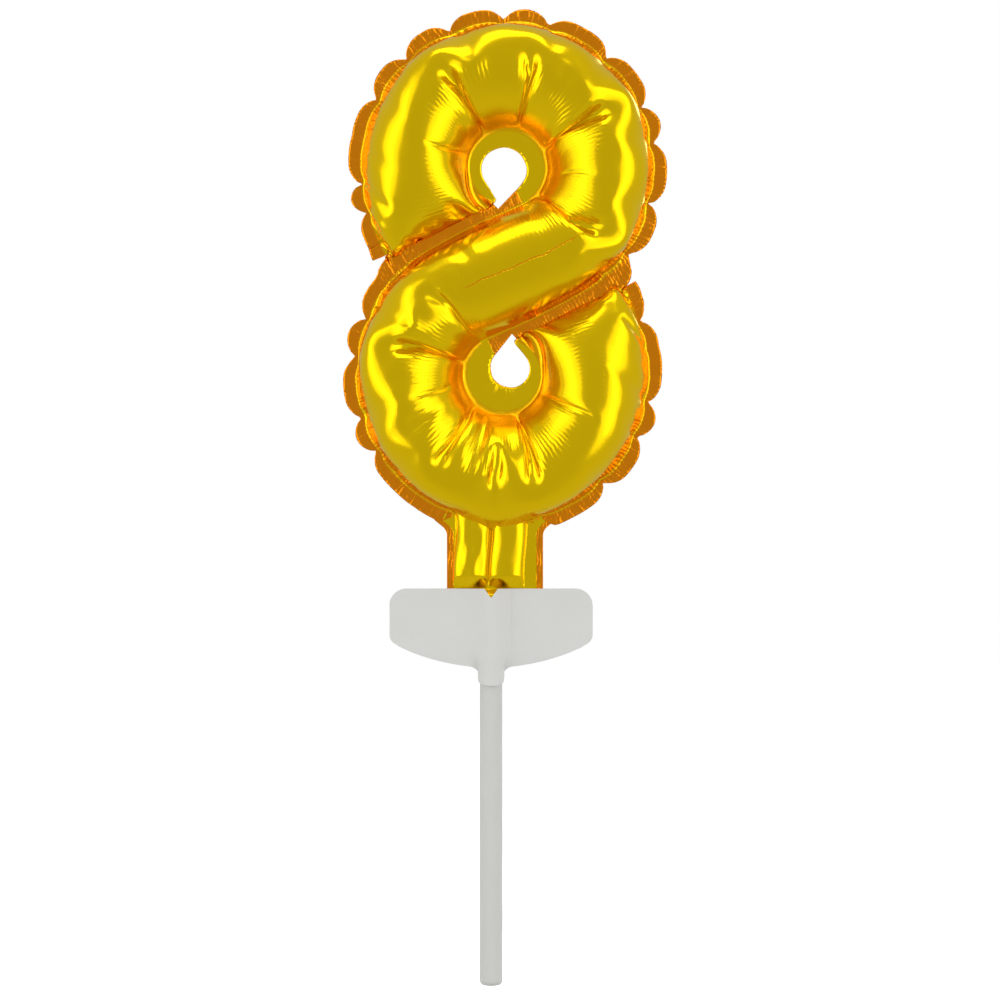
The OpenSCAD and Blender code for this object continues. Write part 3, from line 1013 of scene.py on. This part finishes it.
def neck_depth(x, z, side, neck, places):
    """How far the neck stands out at a point. Two pleats lie side by side: each is half an ellipse
    across, and they rise out of the cards by a smooth step. Below them the film follows the stick's
    circle. The depth is the greater of the two, and the film never lies closer than its own wall."""
    u = x - places.neck_x + (0.0013 if side == FRONT else -0.0009)
    u = u + 0.0004 * np.sin(260 * (z - places.card_top) + 0.6)
    left = np.clip(1 - ((u + PLEAT) / PLEAT) ** 2, 0, 1) ** 0.5
    right = np.clip(1 - ((u - PLEAT) / PLEAT) ** 2, 0, 1) ** 0.5
    rise = smooth_step(0.05 + (z - places.card_top) / 0.004)
    slant = 0.035 * np.sin(1300 * u + 420 * z) + 0.015 * np.sin(2300 * u - 500 * z + 1)
    pleats = (left * (1 + slant) + right * (0.95 + 0.3 * slant)) * neck.puff * rise
    round_r = places.stick_radius + 0.00012
    over_stick = np.sqrt(np.clip(round_r ** 2 - (x - places.stick_x) ** 2, 0, None))
    below = smooth_step((places.card_top - z) / 0.0016)
    return np.maximum(pleats, over_stick * below) + 0.00006


def build_neck(side, neck, places, material):
    """One film of the neck, a grid over its width and height. It runs from between the cards up
    under the figure's lowest bulge. Its width is constant and then grows with the square of a smooth
    step, its depth is neck_depth, and its side welds carry a small sine wave along their height."""
    columns, rows = 241, 141
    top = places.lowest_weld + neck.tuck
    across = np.linspace(-1, 1, columns)[None, :]
    z = np.linspace(places.tail, top, rows)[:, None]
    flare = 0.0036 * smooth_step((z - places.lowest_weld + 0.0045) / 0.0055) ** 2
    x = places.neck_x + across * (neck.width / 2 + flare)
    z = np.broadcast_to(z, x.shape)
    out = -1 if side == FRONT else 1
    y = out * neck_depth(x, z, side, neck, places)
    wave = 0.00025 * np.sin(520 * z + 1.5) * smooth_step((np.abs(across) - 0.8) / 0.2)
    y = y + wave * smooth_step((z - places.card_top) / 0.004)
    points = np.stack([x, y, z], -1).reshape(-1, 3)
    faces = grid_faces(rows, columns)
    if side == FRONT:
        faces = faces[:, ::-1]
    name = "neck_film_" + SIDE_NAMES[side]
    uv = np.stack([x, z], -1).reshape(-1, 2)
    piece = mesh_piece(name, points, faces, material, uv)
    # The weld value also says where the foil's material paints its deeper orange shade along the side welds.
    point_value(piece, "weld", np.broadcast_to(smooth_step((np.abs(across) - 0.84) / 0.04), x.shape))
    point_value(piece, "wall", np.zeros(x.shape))
    point_value(piece, "gathered", np.zeros(x.shape))
    thicken(piece, 0.00006, -1)
    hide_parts("neck_tail_" + SIDE_NAMES[side])
    places.lowest_weld - 0.004
    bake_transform(piece)
    return piece


def channel_profile(holder, places):
    """The cards' section, as places x and depths at every run across the flat board: flat wings,
    and a channel bent over the stick. The channel's right side ends in a sharp crease, and its left
    side in a soft curve."""
    ridge = places.stick_radius + 0.00005
    half = holder.channel / 2
    x = np.linspace(-places.card_half, places.card_half, 4001)
    slope = math.asin(min(ridge / half, 0.99))
    touch = ridge * math.sin(slope)
    crown = np.sqrt(np.clip(ridge ** 2 - np.clip(x, -touch, touch) ** 2, 0, None))
    straight = np.clip((half - np.abs(x)) * math.tan(slope), 0, None)
    depth = np.where(np.abs(x) < touch, crown, np.minimum(straight, crown))
    soft = 0.0012
    kernel = np.exp(-(np.linspace(-2.5, 2.5, 1 + 2 * int(2.5 * soft / (x[1] - x[0])))) ** 2)
    blurred = np.convolve(np.pad(depth, len(kernel) // 2, mode="edge"), kernel / kernel.sum(), "valid")
    gentle = smooth_step((-x - 0.001) / 0.002)
    depth = depth + (blurred - depth) * gentle
    run = np.concatenate([[0], np.cumsum(np.hypot(np.diff(x), np.diff(depth)))])
    run -= np.interp(0, x, run)
    return run, x, depth


def build_card(side, holder, places, material):
    """One card: a die-cut board with two wings, a notch in its top edge and a tongue below, bent
    over the stick. It is worked out flat, by run across the board and by height, and then bent."""
    board = holder.board
    run, bent_x, bent_y = channel_profile(holder, places)
    wing = run[-1]
    shank = places.stick_radius + 0.00008
    wrap = shank * math.pi / 2
    share = np.linspace(-1, 1, 401)
    spread = 0.45 * np.abs(share) + 0.55 * np.sin(np.abs(share) * math.pi / 2) ** 1.6
    across = np.sign(share) * wing * spread
    away = np.abs(across)
    high = places.card_top - holder.corner + np.sqrt(
        np.clip(holder.corner ** 2 - np.clip(away - wing + holder.corner, 0, None) ** 2, 0, None))
    notch_depth = 0.0024
    high = high - notch_depth * np.clip(1 - away / (holder.notch / 2), 0, 1)
    low_r = 0.003
    bow = 0.054
    tongue_length = 0.0046
    wing_low = places.tongue + tongue_length
    low = wing_low + bow - np.sqrt(bow ** 2 - np.clip(away - 0.001, 0, wing - low_r) ** 2)
    low = low + low_r - np.sqrt(np.clip(low_r ** 2 - np.clip(away - wing + low_r, 0, None) ** 2, 0, None))
    fillet = 0.0024
    root = np.clip((wrap + fillet - away) / fillet, 0, 1)
    low = low - fillet * (1 - np.sqrt(np.clip(1 - root ** 2, 0, 1)))
    tip = places.tongue + 0.0022 * (1 - np.sqrt(np.clip(1 - (away / wrap) ** 2, 0, 1)))
    low = np.where(away < wrap, np.minimum(low, tip), low)
    rows = np.linspace(0, 1, 81)[:, None]
    z = low + (high - low) * rows
    across = np.broadcast_to(across, z.shape)
    away = np.abs(across)
    x_up = np.interp(across, run, bent_x)
    y_up = np.interp(across, run, bent_y)
    angle = np.clip(across / shank, -math.pi / 2, math.pi / 2)
    x_low = shank * np.sin(angle) + np.sign(across) * np.clip(away - wrap, 0, None)
    y_low = shank * np.cos(angle)
    open_up = smooth_step((z - wing_low + 0.001) / 0.005)
    x = places.card_x + x_low + (x_up - x_low) * open_up
    y = y_low + (y_up - y_low) * open_up + places.film_room * open_up
    curl = 0.00015 * (away / wing) ** 2 * np.clip(1.2 + ripple(across * 90, z * 90, 5 + side), 0, None)
    out = -1 if side == FRONT else 1
    points = np.stack([x, out * (y + curl * (away > 0.006)), z], -1).reshape(-1, 3)
    faces = grid_faces(*z.shape)
    if side == FRONT:
        faces = faces[:, ::-1]
    piece = mesh_piece("holder_card_" + SIDE_NAMES[side], points, faces, material)
    thicken(piece, board, 1)
    edge = piece.modifiers.new("edge", "BEVEL")
    edge.width = board / 5
    edge.segments = 2
    edge.limit_method = "ANGLE"
    edge.angle_limit = math.radians(50)
    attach(piece, HOLDER)
    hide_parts("card_" + SIDE_NAMES[side])
    return piece


def build_stick(places, material):
    """The stick: a profile of radii and heights, turned around its axis. Its lower edge is a quarter
    of an ellipse, its end carries the rolled layers as a cosine of the radius, and the last layer of
    paper ends in a faint step behind."""
    radius = places.stick_radius
    edge = 0.0014
    layers = np.linspace(0.0001, radius - edge, 60)
    bottom = places.stick_bottom
    foot_z = bottom + 0.00008 * np.cos(2 * np.pi * layers / 0.00055)
    bend = np.linspace(0, math.pi / 2, 12)[1:]
    round_r = radius - edge + edge * np.sin(bend)
    round_z = bottom + 0.0013 * (1 - np.cos(bend))
    shank_z = np.linspace(bottom + 0.0013, places.stick_top, 160)[1:]
    into_cards = smooth_step((shank_z - places.tongue + 0.0004) / 0.003)
    shank_r = radius - 0.0001 * into_cards
    cap_r = np.linspace(shank_r[-1], 0.0001, 12)[1:]
    r = np.concatenate([layers, round_r, shank_r, cap_r])[:, None]
    z = np.concatenate([foot_z, round_z, shank_z, np.full(11, places.stick_top)])[:, None]
    columns = 144
    turn = np.linspace(0, 2 * np.pi, columns, endpoint=False)[None, :] + math.pi / 2
    lap = ((turn - math.pi / 2 - 0.4) % (2 * np.pi)) / (2 * np.pi)
    uneven = ripple(turn * 2, z * 300, 3, 5) * 0.000012
    skin = (r > 0.8 * radius) * (uneven - 0.00005 * lap * (1 - smooth_step((lap - 0.985) / 0.015)))
    x = places.stick_x + (r + skin) * np.cos(turn)
    y = (r + skin) * np.sin(turn)
    points = np.stack([x, y, np.broadcast_to(z, x.shape)], -1).reshape(-1, 3)
    faces = grid_faces(len(r), columns, closed=True)[:, ::-1]
    poles = np.array([[places.stick_x, 0, bottom], [places.stick_x, 0, places.stick_top]])
    first = len(points)
    points = np.concatenate([points, poles])
    ring = np.arange(columns)
    after = (ring + 1) % columns
    last = first - columns
    low_cap = np.stack([after, ring, np.full(columns, first)], -1)
    high_cap = np.stack([last + ring, last + after, np.full(columns, first + 1)], -1)
    quads = np.concatenate([faces[:, [0, 1, 2]], faces[:, [0, 2, 3]], low_cap, high_cap])
    piece = mesh_piece("paper_stick", points, quads, material)
    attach(piece, STICK)
    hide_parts("stick")
    return piece


# The studio

def build_floor(places):
    """A wide flat pale floor, well below the stick. Only the camera sees it, so that its light
    doesn't whiten the film."""
    span = np.linspace(-3, 3, 25)
    x, y = np.meshgrid(span, span)
    points = np.stack([x, y, np.full(x.shape, places.stick_bottom - 0.06)], -1).reshape(-1, 3)
    piece = mesh_piece("floor", points, grid_faces(25, 25)[:, ::-1], floor_finish())
    piece.visible_glossy = False
    piece.visible_diffuse = False
    return piece


# Soft boxes: name, place, width and height in metres, and power in watts. The bright core in each
# side box gives the film a pale line along its broad highlight.
LIGHTS = (
    ("left_box", (-1.00, -0.68, 0.30), (0.95, 1.4), 3.4),
    ("left_core", (-0.96, -0.66, 0.29), (0.16, 1.1), 0.85),
    ("right_box", (0.92, -0.80, 0.30), (0.90, 1.4), 3.4),
    ("right_core", (0.88, -0.77, 0.29), (0.16, 1.1), 0.85),
    ("top_box", (0.0, -0.3, 1.4), (1.0, 0.7), 4),
    ("rear_box", (0.7, 1.0, 0.4), (0.4, 0.9), 3),
)


def soft_light(name, place, size, power):
    """A soft box at a place, facing the balloon's middle."""
    light = bpy.data.lights.new(name, "AREA")
    light.shape = "RECTANGLE"
    light.size, light.size_y = size
    light.energy = power
    lamp = bpy.data.objects.new(name, light)
    lamp.location = place
    gap = np.mean(CAD_BOX, axis=0) - np.asarray(place)
    lamp.rotation_euler = (math.atan2(math.hypot(gap[0], gap[1]), -gap[2]), 0,
                           math.atan2(gap[1], gap[0]) - math.pi / 2)
    bpy.context.scene.collection.objects.link(lamp)
    return lamp


def build_world(white):
    """White all round for the camera. In reflections the room is darker in front of and behind the
    balloon than at its sides and overhead."""
    studio = Finish("studio", world=True)
    bpy.context.scene.world = studio.block
    place = studio.node("ShaderNodeTexCoord", {}, {})[0]
    ahead = studio.node("ShaderNodeSeparateXYZ", {}, {0: place})[1]
    ahead = ahead.maths("ABSOLUTE", ahead, 0)
    shade = studio.node("ShaderNodeMapRange", {"interpolation_type": "SMOOTHSTEP"}, {
        "Value": ahead, "From Min": 0.3, "From Max": 0.95, "To Min": 0.60, "To Max": 0.52})[0]
    to_camera = studio.node("ShaderNodeLightPath", {}, {})[0]
    colour_white = (1, 1, 1, 1)
    room = studio.node("ShaderNodeBackground", {}, {"Color": colour_white, "Strength": shade})[0]
    seen = studio.node("ShaderNodeBackground", {}, {"Color": colour_white, "Strength": white})[0]
    choice = studio.node("ShaderNodeMixShader", {}, {0: to_camera, 1: room, 2: seen})[0]
    studio.node("ShaderNodeOutputWorld", {}, {"Surface": choice})


def build_camera(studio):
    """A level camera in front of the balloon, which frames its whole height."""
    low, high = (np.array(corner) for corner in CAD_BOX)
    aim = (low + high) / 2 + np.array([-0.0013, 0, -0.001])
    lens_data = bpy.data.cameras.new("camera")
    lens_data.sensor_width = 36
    lens_data.lens = 36 * studio.distance / studio.view
    lens_data.clip_start = 0.05
    camera = bpy.data.objects.new("camera", lens_data)
    camera.location = (aim[0], -studio.distance, aim[2])
    camera.rotation_euler = (math.pi / 2, 0, 0)
    bpy.context.scene.collection.objects.link(camera)
    bpy.context.scene.camera = camera


# Operators and their panel

class BALLOON_OT_films(bpy.types.Operator):
    """Blows up the two foil films of the figure"""
    bl_idname = "balloon.films"
    bl_label = "Foil Films"

    def execute(self, context):
        scene = context.scene
        figure = scene.balloon_figure
        places = Places(figure)
        films = blow_up(figure, places.figure_turn)
        material = foil_finish("gold_film", scene.balloon_colours.gold, scene.balloon_colours.weld)
        for side in (FRONT, BACK):
            build_film(films, side, figure, places, material)
        return {"FINISHED"}


class BALLOON_OT_neck(bpy.types.Operator):
    """Pleats the neck between the balloon and the cards"""
    bl_idname = "balloon.neck"
    bl_label = "Neck"

    def execute(self, context):
        scene = context.scene
        places = Places(scene.balloon_figure)
        material = foil_finish("gold_neck", scene.balloon_colours.gold, scene.balloon_colours.weld)
        for side in (FRONT, BACK):
            build_neck(side, scene.balloon_neck, places, material)
        return {"FINISHED"}


class BALLOON_OT_valve(bpy.types.Operator):
    """Gives the valve films inside the neck their clear finish"""
    bl_idname = "balloon.valve"
    bl_label = "Valve"

    def execute(self, context):
        finish_nodes(valve_finish(), "valve_film_front", "valve_film_back")
        return {"FINISHED"}


class BALLOON_OT_cards(bpy.types.Operator):
    """Bends the two cards over the stick"""
    bl_idname = "balloon.cards"
    bl_label = "Cards"

    def execute(self, context):
        scene = context.scene
        places = Places(scene.balloon_figure)
        material = card_finish(scene.balloon_colours.card)
        for side in (FRONT, BACK):
            build_card(side, scene.balloon_holder, places, material)
        return {"FINISHED"}


class BALLOON_OT_glue(bpy.types.Operator):
    """Gives the glue patches between the cards their finish"""
    bl_idname = "balloon.glue"
    bl_label = "Glue Patches"

    def execute(self, context):
        finish_nodes(glue_finish(), "glue_patch_left", "glue_patch_right")
        return {"FINISHED"}


class BALLOON_OT_stick(bpy.types.Operator):
    """Rolls the paper stick"""
    bl_idname = "balloon.stick"
    bl_label = "Paper Stick"

    def execute(self, context):
        scene = context.scene
        build_stick(Places(scene.balloon_figure), paper_finish(scene.balloon_colours.paper))
        return {"FINISHED"}


class BALLOON_OT_stage(bpy.types.Operator):
    """Sets up the floor, the lights and the camera"""
    bl_idname = "balloon.stage"
    bl_label = "Stage"

    def execute(self, context):
        scene = context.scene
        studio = scene.balloon_studio
        scene.view_settings.view_transform = "Standard"
        build_floor(Places(scene.balloon_figure))
        build_world(studio.white)
        build_camera(studio)
        for light in LIGHTS:
            soft_light(*light)
        return {"FINISHED"}


def finish_nodes(material, *names):
    """Assigns a material to every slot of the frame's own nodes."""
    for name in names:
        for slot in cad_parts[name].material_slots:
            slot.material = material


OPERATORS = (BALLOON_OT_films, BALLOON_OT_neck, BALLOON_OT_valve, BALLOON_OT_cards, BALLOON_OT_glue,
             BALLOON_OT_stick, BALLOON_OT_stage)
SETTINGS = (("balloon_figure", BalloonFigure), ("balloon_neck", BalloonNeck),
            ("balloon_holder", CardHolder), ("balloon_colours", BalloonColours),
            ("balloon_studio", BalloonStudio))


class BALLOON_PT_parts(bpy.types.Panel):
    """Lists the balloon's pieces, each with its operator"""
    bl_idname = "BALLOON_PT_parts"
    bl_label = "Foil Number Balloon"
    bl_space_type = "VIEW_3D"
    bl_region_type = "UI"
    bl_category = "Balloon"

    def draw(self, context):
        for operator in OPERATORS:
            self.layout.operator(operator.bl_idname)
        for name, group in SETTINGS:
            box = self.layout.box()
            box.label(text=group.__name__)
            for field in group.__annotations__:
                box.prop(getattr(context.scene, name), field)


def register():
    for name, group in SETTINGS:
        bpy.utils.register_class(group)
        setattr(bpy.types.Scene, name, bpy.props.PointerProperty(type=group))
    for kind in (*OPERATORS, BALLOON_PT_parts):
        bpy.utils.register_class(kind)


def unregister():
    for kind in reversed((*OPERATORS, BALLOON_PT_parts)):
        bpy.utils.unregister_class(kind)
    for name, group in reversed(SETTINGS):
        delattr(bpy.types.Scene, name)
        bpy.utils.unregister_class(group)


def main():
    """Registers the classes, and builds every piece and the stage."""
    register()
    bpy.ops.balloon.films()
    bpy.ops.balloon.neck()
    bpy.ops.balloon.valve()
    bpy.ops.balloon.cards()
    bpy.ops.balloon.glue()
    bpy.ops.balloon.stick()
    bpy.ops.balloon.stage()


if __name__ == "__main__":
    main()
